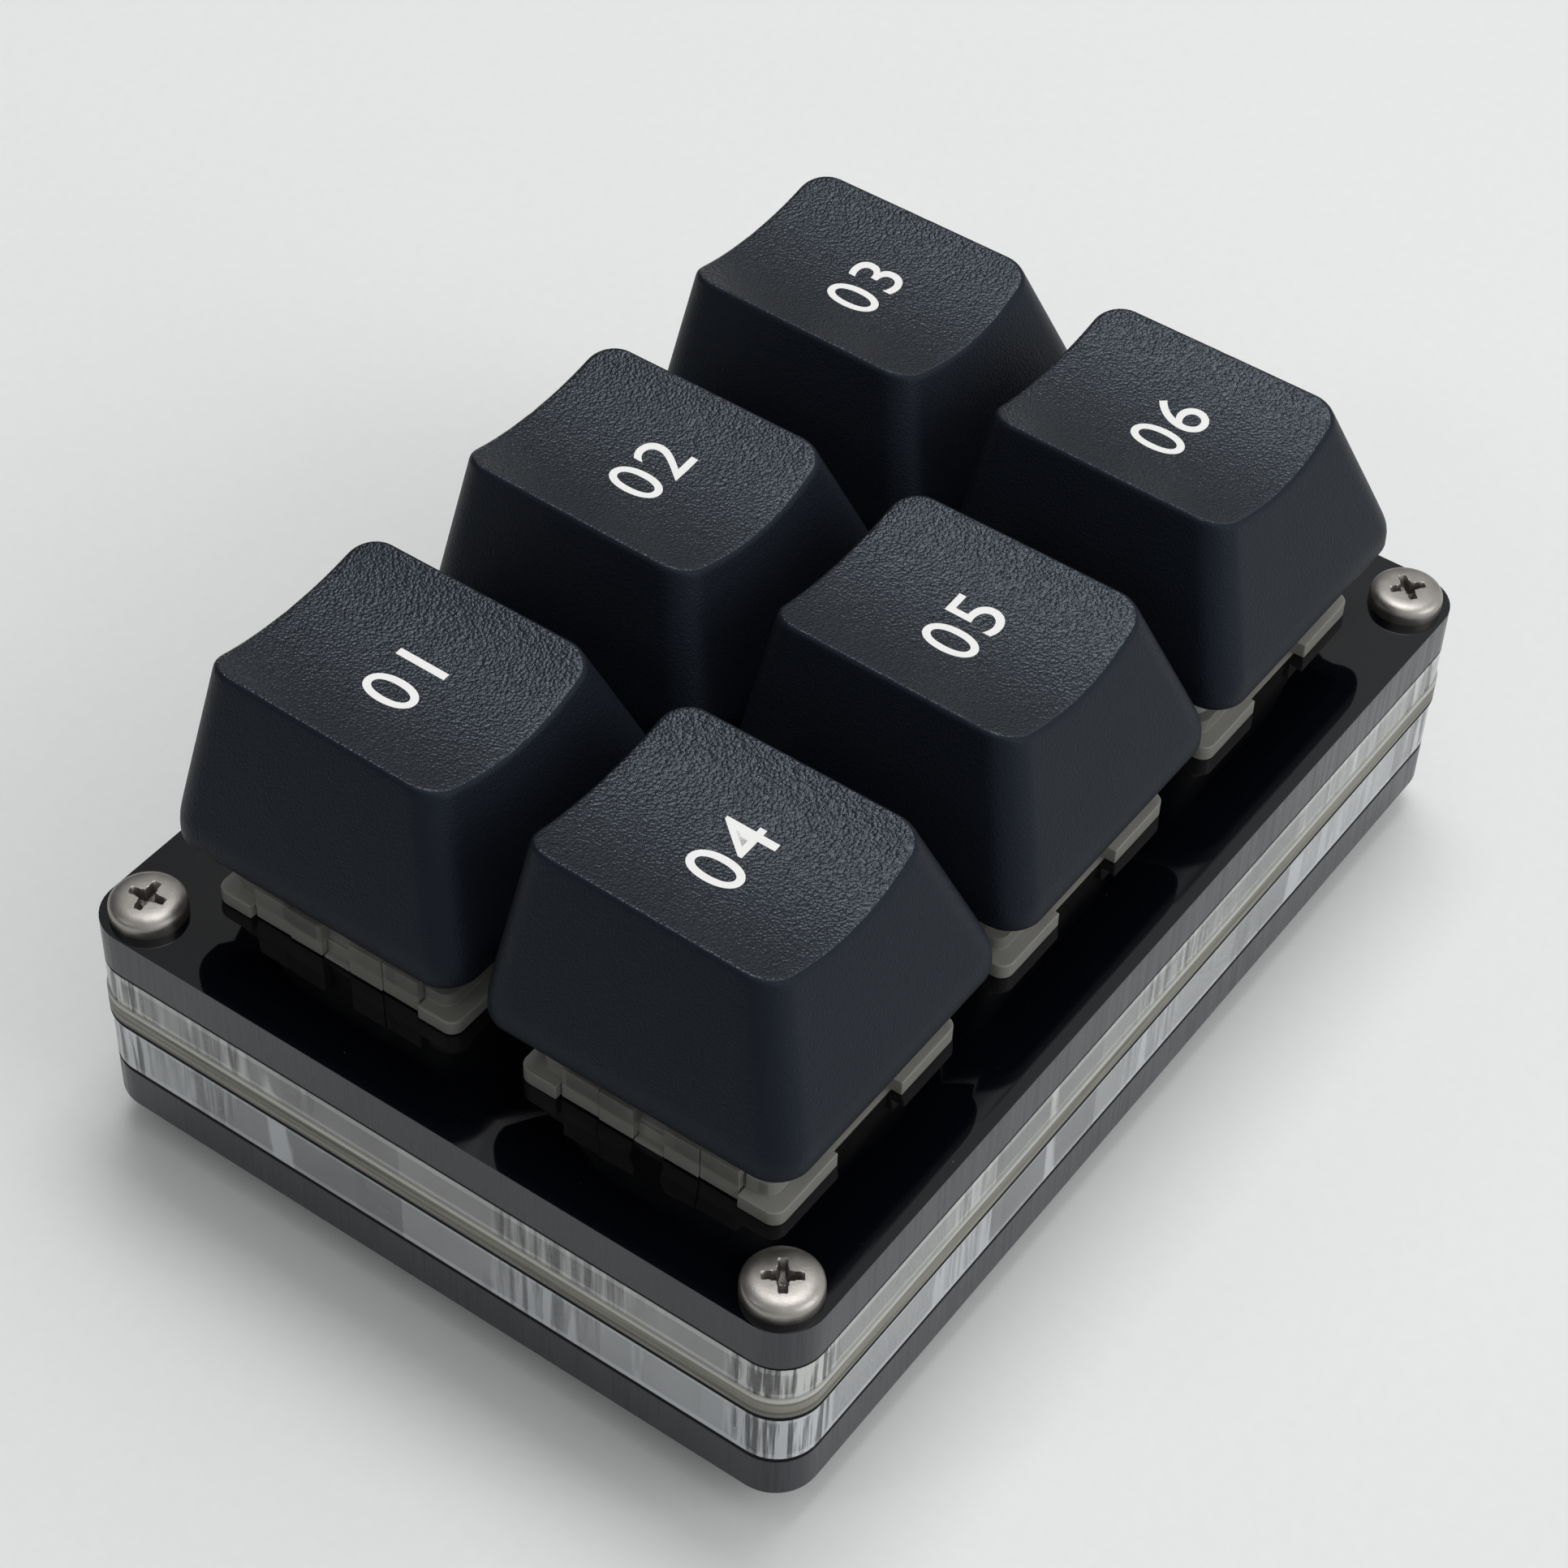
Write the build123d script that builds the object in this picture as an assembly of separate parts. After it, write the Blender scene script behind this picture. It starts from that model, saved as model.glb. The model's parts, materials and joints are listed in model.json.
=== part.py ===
"""A macro keypad: six plate-mounted key switches with dished caps in a case of stacked acrylic sheets.

Millimetres, +Z up. The origin is on the desk, under the middle of the case. +X runs along a row of three
keys and +Y points away from the person typing. Keys 1 to 3 are the back row, 4 to 6 the front row.
"""

from math import cos, pi, sin, sqrt
import os

from build123d import *

# Key layout
key_pitch = 19.05
key_field_border = 2.0

# Case: five sheets of one outline, from the desk upwards
case_length = 63.0
case_width = 43.4
case_corner_radius = 2.4
bottom_plate_thickness = 2.8
lower_frame_thickness = 3.2
board_thickness = 1.6
upper_frame_thickness = 2.2
top_plate_thickness = 2.8
upper_frame_wall = 4.4
lower_frame_wall = 4.0
frame_pocket_radius = 1.5
board_overhang = 0.1
cut_overrun = 1.0

# Feet and fasteners
foot_height = 2.4
foot_diameter = 8.0
foot_edge_fillet = 0.6
foot_inset = 9.5
screw_inset = 2.45
screw_diameter = 2.0
screw_length = 12.0
screw_head_diameter = 4.0
screw_head_height = 1.05
screw_head_fillet = 0.5
screw_recess_span = 2.2
screw_recess_width = 0.6
screw_recess_depth = 0.6
screw_hole_clearance = 0.1
screw_thread_clearance = 0.025

# Switch housings, measured from the top of the plate
cutout_side = 14.0
cutout_clearance = 0.05
flange_length = 14.9
flange_width = 15.2
flange_height = 0.9
flange_radius = 0.7
flange_arm_along_x = 4.8
flange_arm_along_y = 2.3
rim_length = 13.5
rim_width = 13.1
cavity_side = 11.0
housing_floor = 1.0
locating_post_diameter = 3.9
locating_post_length = 3.3
locating_post_clearance = 0.05
spring_post_diameter = 3.2
spring_post_height = 3.0
guide_bore_diameter = 2.3
guide_bore_end_wall = 0.7
upper_housing_top = 6.6
upper_housing_base_side = 13.2
upper_housing_top_length = 10.6
upper_housing_top_width = 9.8
upper_housing_corner_radius = 0.8
upper_housing_wall = 0.9
upper_housing_ceiling = 1.2
corner_step_side = 13.6
corner_step_height = 0.9
clip_leg_width = 2.0
clip_leg_gap = 1.8
clip_leg_outer_side = 14.44
clip_leg_groove = 0.06
clip_wall_width = 2.2
clip_wall_outer_side = 14.3
clip_leg_rise = 1.2
clip_leg_floor_gap = 0.1
clip_leg_clearance = 0.05
plate_catch_height = 0.2
plate_catch_outer_side = 14.4

# Sliding stem
key_travel = 4.0
slider_length = 7.0
slider_width = 5.7
slider_clearance = 0.1
slider_bottom = 1.5
slider_roof = 1.4
shoulder_side_gap = 0.6
shoulder_height = 1.0
shoulder_stop_gap = 0.1
stem_pole_diameter = 2.1
stem_pole_tip = 2.9
spring_bore_diameter = 4.8
cross_span = 4.0
cross_arm_along_x = 1.3
cross_arm_along_y = 1.1
cross_height = 3.6

# Return spring
spring_mean_diameter = 4.0
spring_wire_diameter = 0.34
spring_turns = 10
spring_seat_gap = 0.05
spring_gap_count = 24

# Contacts of one switch
contact_sheet = 0.3
contact_top = 0.5
fixed_contact_y = 4.45
fixed_contact_length = 3.6
fixed_pin_x = -3.81
fixed_pin_y = 2.54
contact_leaf_y = 5.08
contact_leaf_length = 6.4
leaf_pin_x = 2.54
contact_pin_width = 0.9
pin_length = 3.3
pin_slot_clearance = 0.1
pin_hole_diameter = 1.5

# Key cap
cap_gap = 1.05
cap_skirt_radius = 1.9
cap_pressed_gap = 1.0
cap_lip_height = 1.2
cap_height = 9.4
cap_top_length = 12.1
cap_top_width = 14.1
cap_top_radius = 1.6
cap_top_setback = 1.3
cap_top_tilt_deg = 1.3
cap_dish_depth = 1.0
cap_blank_extra = 0.8
cap_rim_fillet = 0.35
cap_wall = 1.2
cap_roof = 1.6
cap_boss_diameter = 5.5
cap_socket_clearance = 0.03
cap_socket_end_gap = 0.1

# Board parts, all on the underside
usb_length = 8.94
usb_height = 3.1
usb_depth = 6.4
usb_shell_wall = 0.3
usb_opening_radius = 1.2
usb_slot_clearance = 0.25
usb_tongue_length = 6.7
usb_tongue_height = 0.7
usb_tongue_depth = 5.0
usb_block_depth = 1.2
usb_block_clearance = 0.02
chip_length = 9.9
chip_width = 3.9
chip_height = 1.5
chip_standoff = 0.1
chip_offset_y = 0.8
lead_count_per_side = 8
lead_pitch = 1.27
lead_width = 0.4
lead_sheet = 0.2
lead_foot = 0.85
lead_rise = 0.75
diode_length = 2.7
diode_width = 1.6
diode_height = 1.1
diode_offset_x = 4.5
diode_offset_y = -4.5
passive_length = 1.6
passive_width = 0.8
passive_height = 0.5
passive_x = 7.5
passive_back_insets = (9.0, 6.5)

# As many keys as the case has room for, the controller half a pitch in front of the back row
key_columns = int((case_length - 2 * key_field_border) / key_pitch)
key_rows = int((case_width - 2 * key_field_border) / key_pitch)
back_row_y = (key_rows - 1) / 2 * key_pitch
chip_y = back_row_y - key_pitch / 2 + chip_offset_y
cap_skirt_side = key_pitch - cap_gap
cap_skirt_gap = key_travel + cap_pressed_gap

# Heights that follow from the stack
bottom_plate_z = foot_height
lower_frame_z = bottom_plate_z + bottom_plate_thickness
board_z = lower_frame_z + lower_frame_thickness
upper_frame_z = board_z + board_thickness
top_plate_z = upper_frame_z + upper_frame_thickness
plate_top = top_plate_z + top_plate_thickness
housing_depth = top_plate_thickness + upper_frame_thickness
floor_top = housing_floor - housing_depth
screw_x = case_length / 2 - screw_inset
screw_y = case_width / 2 - screw_inset
screw_places = [(sx * screw_x, sy * screw_y) for sx in (-1, 1) for sy in (-1, 1)]


def key_places():
    """Centres of the keys in number order: the back row from left to right, then the front row."""
    for row in range(key_rows):
        for column in range(key_columns):
            x = (column - (key_columns - 1) / 2) * key_pitch
            y = back_row_y - row * key_pitch
            yield x, y


def prism(length, width, bottom, top, x=0, y=0):
    """A block between two heights, centred on x and y."""
    return Pos(x, y, bottom) * extrude(Rectangle(length, width), top - bottom)


def post(diameter, bottom, top, x=0, y=0):
    """A round post between two heights."""
    return Pos(x, y, bottom) * extrude(Circle(diameter / 2), top - bottom)


def slab(length, width, radius, bottom, thickness):
    """A sheet with rounded corners."""
    return Pos(0, 0, bottom) * extrude(RectangleRounded(length, width, radius), thickness)


def screw_holes(bottom, thickness, clearance):
    """Holes for the four case screws through one sheet."""
    diameter = screw_diameter + 2 * clearance
    return [post(diameter, bottom - cut_overrun, bottom + thickness + cut_overrun, x, y) for x, y in screw_places]


def case_sheet(bottom, thickness, overhang=0, clearance=screw_hole_clearance):
    """One sheet of the case with its screw holes."""
    length = case_length + 2 * overhang
    width = case_width + 2 * overhang
    sheet = slab(length, width, case_corner_radius + overhang, bottom, thickness)
    return sheet - screw_holes(bottom, thickness, clearance)


def frame_sheet(bottom, thickness, wall):
    """A sheet with one large pocket through it."""
    length = case_length - 2 * wall
    width = case_width - 2 * wall
    pocket = slab(length, width, frame_pocket_radius, bottom - cut_overrun, thickness + 2 * cut_overrun)
    return case_sheet(bottom, thickness) - pocket


def top_plate():
    plate = case_sheet(top_plate_z, top_plate_thickness)
    cutouts = [
        prism(cutout_side, cutout_side, top_plate_z - cut_overrun, plate_top + cut_overrun, x, y)
        for x, y in key_places()
    ]
    return plate - cutouts


def upper_frame():
    return frame_sheet(upper_frame_z, upper_frame_thickness, upper_frame_wall)


def circuit_board():
    """The board shows at the case's sides, and carries the switch pins and locating posts."""
    board = case_sheet(board_z, board_thickness, board_overhang)
    low = board_z - cut_overrun
    high = upper_frame_z + cut_overrun
    holes = []
    for x, y in key_places():
        holes.append(post(locating_post_diameter + 2 * locating_post_clearance, low, high, x, y))
        holes.append(post(pin_hole_diameter, low, high, x + fixed_pin_x, y + fixed_pin_y))
        holes.append(post(pin_hole_diameter, low, high, x + leaf_pin_x, y + contact_leaf_y))
    return board - holes


def lower_frame():
    """The frame under the board, open at the back for the socket."""
    frame = frame_sheet(lower_frame_z, lower_frame_thickness, lower_frame_wall)
    slot_width = usb_length + 2 * usb_slot_clearance
    slot_y = case_width / 2 - lower_frame_wall / 2
    slot = prism(
        slot_width,
        lower_frame_wall + 2 * cut_overrun,
        lower_frame_z - cut_overrun,
        board_z + cut_overrun,
        y=slot_y,
    )
    return frame - slot


def bottom_plate():
    """The plate that the case screws thread into."""
    return case_sheet(bottom_plate_z, bottom_plate_thickness, clearance=screw_thread_clearance)


def rubber_feet():
    """Four pads stuck under the bottom plate, inboard of the screws."""
    pad = post(foot_diameter, 0, foot_height)
    pad = fillet(pad.edges().group_by(Axis.Z)[0], foot_edge_fillet)
    x = case_length / 2 - foot_inset
    y = case_width / 2 - foot_inset
    return [Pos(sx * x, sy * y, 0) * pad for sx in (-1, 1) for sy in (-1, 1)]


def case_screws():
    """Pan-head screws with a cross recess, through the stack and into the bottom plate."""
    head_top = plate_top + screw_head_height
    head = post(screw_head_diameter, plate_top, head_top)
    head = fillet(head.edges().group_by(Axis.Z)[-1], screw_head_fillet)
    shank = post(screw_diameter, plate_top - screw_length, plate_top)
    low = head_top - screw_recess_depth
    high = head_top + cut_overrun
    recess = prism(screw_recess_span, screw_recess_width, low, high)
    recess += prism(screw_recess_width, screw_recess_span, low, high)
    screw = head + shank - recess
    return [Pos(x, y, 0) * screw for x, y in screw_places]


def corner_blocks(length, width, bottom, top):
    """Four L-shaped corners of a rectangle around the cavity, with an arm along each side."""
    ring = slab(length, width, flange_radius, bottom, top - bottom)
    ring -= prism(cavity_side, cavity_side, bottom - cut_overrun, top + cut_overrun)
    gap_x = flange_length - 2 * flange_arm_along_x
    gap_y = flange_width - 2 * flange_arm_along_y
    ring -= prism(gap_x, width + cut_overrun, bottom - cut_overrun, top + cut_overrun)
    ring -= prism(length + cut_overrun, gap_y, bottom - cut_overrun, top + cut_overrun)
    return ring


def lower_housing():
    """The half of a switch that sits in the plate. Heights count from the plate's top."""
    side = cutout_side - 2 * cutout_clearance
    body = prism(side, side, -housing_depth, 0)
    body += prism(rim_length, rim_width, 0, flange_height)
    body += corner_blocks(flange_length, flange_width, 0, flange_height)
    body += prism(plate_catch_outer_side, clip_leg_gap - 2 * clip_leg_clearance, 0, plate_catch_height)
    body += post(locating_post_diameter, -housing_depth - locating_post_length, -housing_depth)
    body -= prism(cavity_side, cavity_side, floor_top, flange_height + cut_overrun)
    body += post(spring_post_diameter, floor_top, floor_top + spring_post_height)
    bore_bottom = guide_bore_end_wall - housing_depth - locating_post_length
    body -= post(guide_bore_diameter, bore_bottom, floor_top + spring_post_height + cut_overrun)
    slot_length = contact_pin_width + 2 * pin_slot_clearance
    slot_width = contact_sheet + 2 * pin_slot_clearance
    for x, y in ((fixed_pin_x, fixed_pin_y), (leaf_pin_x, contact_leaf_y)):
        body -= prism(slot_length, slot_width, -housing_depth - cut_overrun, floor_top + cut_overrun, x, y)
    return body


def clip_sides(outer_side, width, y):
    """A leg on both ends of the upper housing: it hangs over the lower half's rim from a bridge above."""
    top = flange_height + clip_leg_rise
    inner = rim_length + 2 * clip_leg_clearance
    leg = prism(outer_side, width, clip_leg_floor_gap, top, y=y) - prism(inner, width, clip_leg_floor_gap, top, y=y)
    bridge = prism(outer_side, width, flange_height, top, y=y) - prism(cavity_side, width, flange_height, top, y=y)
    return leg + bridge


def upper_housing():
    """The tapered upper half of a switch, with four clip legs, the walls beside them and corner steps."""
    base = flange_height
    bottom_shape = Pos(0, 0, base) * RectangleRounded(
        upper_housing_base_side, upper_housing_base_side, upper_housing_corner_radius
    )
    top_shape = Pos(0, 0, upper_housing_top) * RectangleRounded(
        upper_housing_top_length, upper_housing_top_width, upper_housing_corner_radius
    )
    body = loft([bottom_shape, top_shape], ruled=True)
    body += corner_blocks(corner_step_side, corner_step_side, base, base + corner_step_height)
    leg_y = (clip_leg_gap + clip_leg_width) / 2
    wall_y = clip_leg_gap / 2 + clip_leg_width + clip_leg_groove + clip_wall_width / 2
    for sy in (-1, 1):
        body += clip_sides(clip_leg_outer_side, clip_leg_width, sy * leg_y)
        body += clip_sides(clip_wall_outer_side, clip_wall_width, sy * wall_y)
    ceiling = upper_housing_top - upper_housing_ceiling
    inner_base = upper_housing_base_side - 2 * upper_housing_wall
    hollow_bottom = Pos(0, 0, base) * Rectangle(inner_base, inner_base)
    hollow_top = Pos(0, 0, ceiling) * Rectangle(
        upper_housing_top_length - 2 * upper_housing_wall, upper_housing_top_width - 2 * upper_housing_wall
    )
    body -= loft([hollow_bottom, hollow_top], ruled=True)
    opening_length = slider_length + 2 * slider_clearance
    opening_width = slider_width + 2 * slider_clearance
    body -= prism(opening_length, opening_width, ceiling - cut_overrun, upper_housing_top + cut_overrun)
    return body


def cross_prism(span, arm_x, arm_y, bottom, top):
    """A plus-shaped post: one arm along X, one along Y."""
    return prism(span, arm_x, bottom, top) + prism(arm_y, span, bottom, top)


def stem():
    """The slider: a box with shoulders, a guide pole inside the spring and a cross for the cap.

    The shoulders are as long as the housing's hollow is at its ceiling, and its taper leaves them clear.
    """
    body = prism(slider_length, slider_width, slider_bottom, upper_housing_top)
    shoulder_top = upper_housing_top - upper_housing_ceiling - shoulder_stop_gap
    shoulder_length = upper_housing_top_length - 2 * upper_housing_wall
    shoulder_width = upper_housing_top_width - 2 * (upper_housing_wall + shoulder_side_gap)
    body += prism(shoulder_length, shoulder_width, shoulder_top - shoulder_height, shoulder_top)
    spring_roof = upper_housing_top - slider_roof
    body -= post(spring_bore_diameter, slider_bottom - cut_overrun, spring_roof)
    body += post(stem_pole_diameter, -stem_pole_tip, spring_roof)
    body += cross_prism(
        cross_span, cross_arm_along_x, cross_arm_along_y, upper_housing_top, upper_housing_top + cross_height
    )
    return body


def coil_path(bottom, rise):
    """A helix drawn as pairs of tangent arcs, a half turn to each pair."""
    radius = spring_mean_diameter / 2

    def point(turn):
        angle = 2 * pi * turn
        return Vector(radius * cos(angle), radius * sin(angle), bottom + rise * turn / spring_turns)

    def tangent(turn):
        angle = 2 * pi * turn
        return Vector(-sin(angle), cos(angle), rise / spring_turns / (2 * pi * radius)).normalized()

    arcs = []
    spans = 2 * spring_turns
    for n in range(spans):
        from_turn = n * spring_turns / spans
        to_turn = (n + 1) * spring_turns / spans
        start, end = point(from_turn), point(to_turn)
        leaving, arriving = tangent(from_turn), tangent(to_turn)
        chord = end - start
        along = chord.dot(leaving + arriving)
        bend = 2 * (1 - leaving.dot(arriving))
        reach = (sqrt(along**2 + bend * chord.dot(chord)) - along) / bend
        middle = (start + end + (leaving - arriving) * reach) / 2
        first = TangentArc(start, middle, tangent=leaving)
        arcs += [first, TangentArc(middle, end, tangent=first % 1)]
    return Wire(arcs)


def turn_gap(path):
    """The least gap between a turn and the next, measured on points along the wire."""
    steps = spring_turns * spring_gap_count
    points = [path @ (n / steps) for n in range(steps + 1)]
    pairs = zip(points, points[spring_gap_count:])
    return min((a - b).length for a, b in pairs) - spring_wire_diameter


def spring():
    """A helical return spring between the housing's floor and the slider's roof."""
    wire = spring_wire_diameter / 2
    bottom = floor_top + spring_seat_gap + wire
    top = upper_housing_top - slider_roof - spring_seat_gap - wire
    path = coil_path(bottom, top - bottom)
    coil = sweep(Plane(origin=path @ 0, z_dir=path % 0) * Circle(wire), path=path)
    print("spring gap between turns", round(turn_gap(path), 3))
    print("spring volume against its wire", round(coil.volume / (pi * wire**2 * path.length), 4))
    return coil


def fixed_contact():
    """The fixed half of the switch contact, with its pin."""
    strip_length = fixed_contact_y - fixed_pin_y + contact_sheet
    strip_y = (fixed_contact_y + fixed_pin_y) / 2
    body = prism(contact_pin_width, strip_length, floor_top, floor_top + contact_sheet, fixed_pin_x, strip_y)
    plate_x = fixed_pin_x - contact_pin_width / 2 + fixed_contact_length / 2
    body += prism(fixed_contact_length, contact_sheet, floor_top, contact_top, plate_x, fixed_contact_y)
    body += prism(contact_pin_width, contact_sheet, -housing_depth - pin_length, floor_top, fixed_pin_x, fixed_pin_y)
    return body


def contact_leaf():
    """The springy half of the switch contact, with its pin."""
    plate_x = leaf_pin_x + contact_pin_width / 2 - contact_leaf_length / 2
    body = prism(contact_leaf_length, contact_sheet, floor_top, contact_top, plate_x, contact_leaf_y)
    body += prism(contact_pin_width, contact_sheet, -housing_depth - pin_length, floor_top, leaf_pin_x, contact_leaf_y)
    return body


def cap_size(height):
    """Length, width, corner radius and setback of the cap's outside at a height above its lip."""
    share = (height - cap_lip_height) / (cap_height - cap_lip_height)
    length = cap_skirt_side + (cap_top_length - cap_skirt_side) * share
    width = cap_skirt_side + (cap_top_width - cap_skirt_side) * share
    radius = cap_skirt_radius + (cap_top_radius - cap_skirt_radius) * share
    return length, width, radius, cap_top_setback * share


def cap_section(height, wall=0):
    """The cap's outline at a height, drawn in by a wall."""
    length, width, radius, setback = cap_size(height)
    outline = RectangleRounded(length - 2 * wall, width - 2 * wall, max(radius - wall, cap_rim_fillet))
    return Pos(0, setback, height) * outline


def keycap():
    """A cap with a straight lip, tapered sides and a top dished along Y. Heights count from its skirt."""
    lip = slab(cap_skirt_side, cap_skirt_side, cap_skirt_radius, 0, cap_lip_height)
    sides = loft([cap_section(cap_lip_height), cap_section(cap_height + cap_blank_extra)], ruled=True)
    dish_radius = ((cap_top_length / 2) ** 2 + cap_dish_depth**2) / (2 * cap_dish_depth)
    dish = Rot(90, 0, 0) * Cylinder(dish_radius, 2 * cap_skirt_side)
    dish_z = cap_height - cap_dish_depth + dish_radius
    body = lip + sides - Pos(0, cap_top_setback, dish_z) * Rot(cap_top_tilt_deg, 0, 0) * dish
    top_face = body.faces().sort_by(Axis.Z)[-1]
    body = fillet(top_face.edges(), cap_rim_fillet)
    roof = cap_height - cap_dish_depth - cap_roof
    inner_side = cap_skirt_side - 2 * cap_wall
    inner_radius = max(cap_skirt_radius - cap_wall, cap_rim_fillet)
    body -= slab(inner_side, inner_side, inner_radius, 0, cap_lip_height)
    body -= loft([cap_section(cap_lip_height, cap_wall), cap_section(roof, cap_wall)], ruled=True)
    slider_top = upper_housing_top - cap_skirt_gap
    body += post(cap_boss_diameter, slider_top, roof)
    body -= cross_prism(
        cross_span + 2 * cap_socket_clearance,
        cross_arm_along_x + 2 * cap_socket_clearance,
        cross_arm_along_y + 2 * cap_socket_clearance,
        slider_top - cut_overrun,
        slider_top + cross_height + cap_socket_end_gap,
    )
    return Pos(0, 0, cap_skirt_gap) * body


def usb_shell():
    """The socket's folded metal shell, open to the back and flush with the case."""
    radius = usb_opening_radius + usb_shell_wall
    outline = RectangleRounded(usb_length, usb_height, radius)
    opening = RectangleRounded(usb_length - 2 * usb_shell_wall, usb_height - 2 * usb_shell_wall, usb_opening_radius)
    tube = extrude(outline, usb_depth) - extrude(opening, usb_depth)
    return Pos(0, case_width / 2, board_z - usb_height / 2) * Rot(90, 0, 0) * tube


def usb_tongue():
    """The socket's insulator: a block at the back of the shell with a thin tongue."""
    gap = usb_shell_wall + usb_block_clearance
    radius = usb_opening_radius - usb_block_clearance
    block = extrude(RectangleRounded(usb_length - 2 * gap, usb_height - 2 * gap, radius), usb_block_depth)
    tongue = extrude(Rectangle(usb_tongue_length, usb_tongue_height), -usb_tongue_depth)
    place = Pos(0, case_width / 2 - usb_depth + usb_block_depth, board_z - usb_height / 2)
    return place * Rot(90, 0, 0) * (block + tongue)


def controller_chip():
    """The controller's package, just under the board."""
    top = board_z - chip_standoff
    return prism(chip_length, chip_width, top - chip_height, top, y=chip_y)


def controller_leads():
    """Gull-wing leads along both sides of the controller."""
    lead_z = board_z - chip_standoff - lead_rise
    foot_y = chip_width / 2 + lead_sheet / 2
    leads = []
    for side in (-1, 1):
        for n in range(lead_count_per_side):
            x = (n - (lead_count_per_side - 1) / 2) * lead_pitch
            rise = prism(lead_width, lead_sheet, lead_z, board_z, x, chip_y + side * foot_y)
            sole_y = chip_y + side * (chip_width / 2 + lead_foot / 2)
            sole = prism(lead_width, lead_foot, board_z - lead_sheet, board_z, x, sole_y)
            leads.append(rise + sole)
    return leads


def diodes():
    """One diode beside each switch."""
    return [
        prism(diode_length, diode_width, board_z - diode_height, board_z, x + diode_offset_x, y + diode_offset_y)
        for x, y in key_places()
    ]


def passives():
    """Small resistors and capacitors beside the socket."""
    return [
        prism(
            passive_length,
            passive_width,
            board_z - passive_height,
            board_z,
            side * passive_x,
            case_width / 2 - inset,
        )
        for side in (-1, 1)
        for inset in passive_back_insets
    ]


def solids_of(shape):
    """The separate solids of a shape or a list of shapes."""
    shapes = shape if isinstance(shape, list) else [shape]
    return [solid for item in shapes for solid in item.solids()]


def save(name, shape):
    """Writes one node, as a group if it has several solids."""
    solids = solids_of(shape)
    node = solids[0] if len(solids) == 1 else Compound(children=solids)
    export_step(node, os.path.join("parts", name + ".step"))


def main():
    os.makedirs("parts", exist_ok=True)
    case_pieces = (
        top_plate,
        upper_frame,
        circuit_board,
        lower_frame,
        bottom_plate,
        rubber_feet,
        case_screws,
        usb_shell,
        usb_tongue,
        controller_chip,
        controller_leads,
        diodes,
        passives,
    )
    for piece in case_pieces:
        save(piece.__name__, piece())
    key_pieces = (keycap, stem, spring, upper_housing, lower_housing, fixed_contact, contact_leaf)
    for piece in key_pieces:
        shape = piece()
        for number, (x, y) in enumerate(key_places(), start=1):
            save(f"{piece.__name__}_{number}", Pos(x, y, plate_top) * shape)


main()
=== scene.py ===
"""Dresses the macro keypad: grained caps, laser-cut acrylic, milky switch housings and plated screws.

Everything is in metres in the frame of the solids: the desk is z = 0, +X runs along a row of keys and +Y points
away from the typist. Sizes that read better in millimetres are multiplied by MM.
"""

import json
import math

import bmesh
import bpy
import numpy as np
from mathutils import Matrix, Vector


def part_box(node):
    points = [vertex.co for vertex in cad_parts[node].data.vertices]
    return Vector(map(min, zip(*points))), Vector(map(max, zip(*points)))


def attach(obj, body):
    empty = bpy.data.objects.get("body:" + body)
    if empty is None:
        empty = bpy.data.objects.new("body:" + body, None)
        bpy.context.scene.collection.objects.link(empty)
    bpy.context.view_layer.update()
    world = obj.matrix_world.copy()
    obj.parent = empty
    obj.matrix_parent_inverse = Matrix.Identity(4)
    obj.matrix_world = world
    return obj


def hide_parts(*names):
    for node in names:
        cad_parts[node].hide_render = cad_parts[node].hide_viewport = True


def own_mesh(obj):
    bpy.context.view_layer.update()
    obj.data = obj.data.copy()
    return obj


bl_info = {
    "name": "Macro keypad dresser",
    "version": (1, 0, 0),
    "blender": (4, 5, 0),
    "location": "View3D > Sidebar > Keypad",
    "description": "Makes the visible pieces and finishes of a six-key macro keypad around its solids",
    "category": "Object",
}

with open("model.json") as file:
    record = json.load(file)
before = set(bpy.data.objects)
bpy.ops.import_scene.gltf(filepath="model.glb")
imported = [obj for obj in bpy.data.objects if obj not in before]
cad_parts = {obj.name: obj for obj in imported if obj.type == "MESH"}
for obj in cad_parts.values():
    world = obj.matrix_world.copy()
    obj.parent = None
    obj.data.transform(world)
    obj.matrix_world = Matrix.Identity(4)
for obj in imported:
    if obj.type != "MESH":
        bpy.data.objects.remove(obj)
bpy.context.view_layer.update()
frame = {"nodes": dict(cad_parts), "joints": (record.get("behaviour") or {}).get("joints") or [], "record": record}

MM = 0.001
KEY_NUMBERS = tuple(range(1, 1 + sum(name.startswith("keycap_") for name in frame["nodes"])))
PLATE_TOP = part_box("top_plate")[1].z
CAP_LOW, CAP_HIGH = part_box("keycap_1")
FACE_SKIN = 0.004 * MM  # a point nearer than this to a sheet's face counts as on it
RECESS_DARK_DEPTH = 0.35 * MM  # depth at which a screw's recess is fully darkened
NUMERAL_SHARE = 0.72  # height of a numeral in the font's size
NUMERAL_STRIP = 0.25 * MM  # width of the strips that let a numeral follow the dish


def key_centre(number):
    """The middle of a key's skirt, at the skirt's height."""
    low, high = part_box(f"keycap_{number}")
    return np.array(((low.x + high.x) / 2, (low.y + high.y) / 2, low.z))


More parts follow.
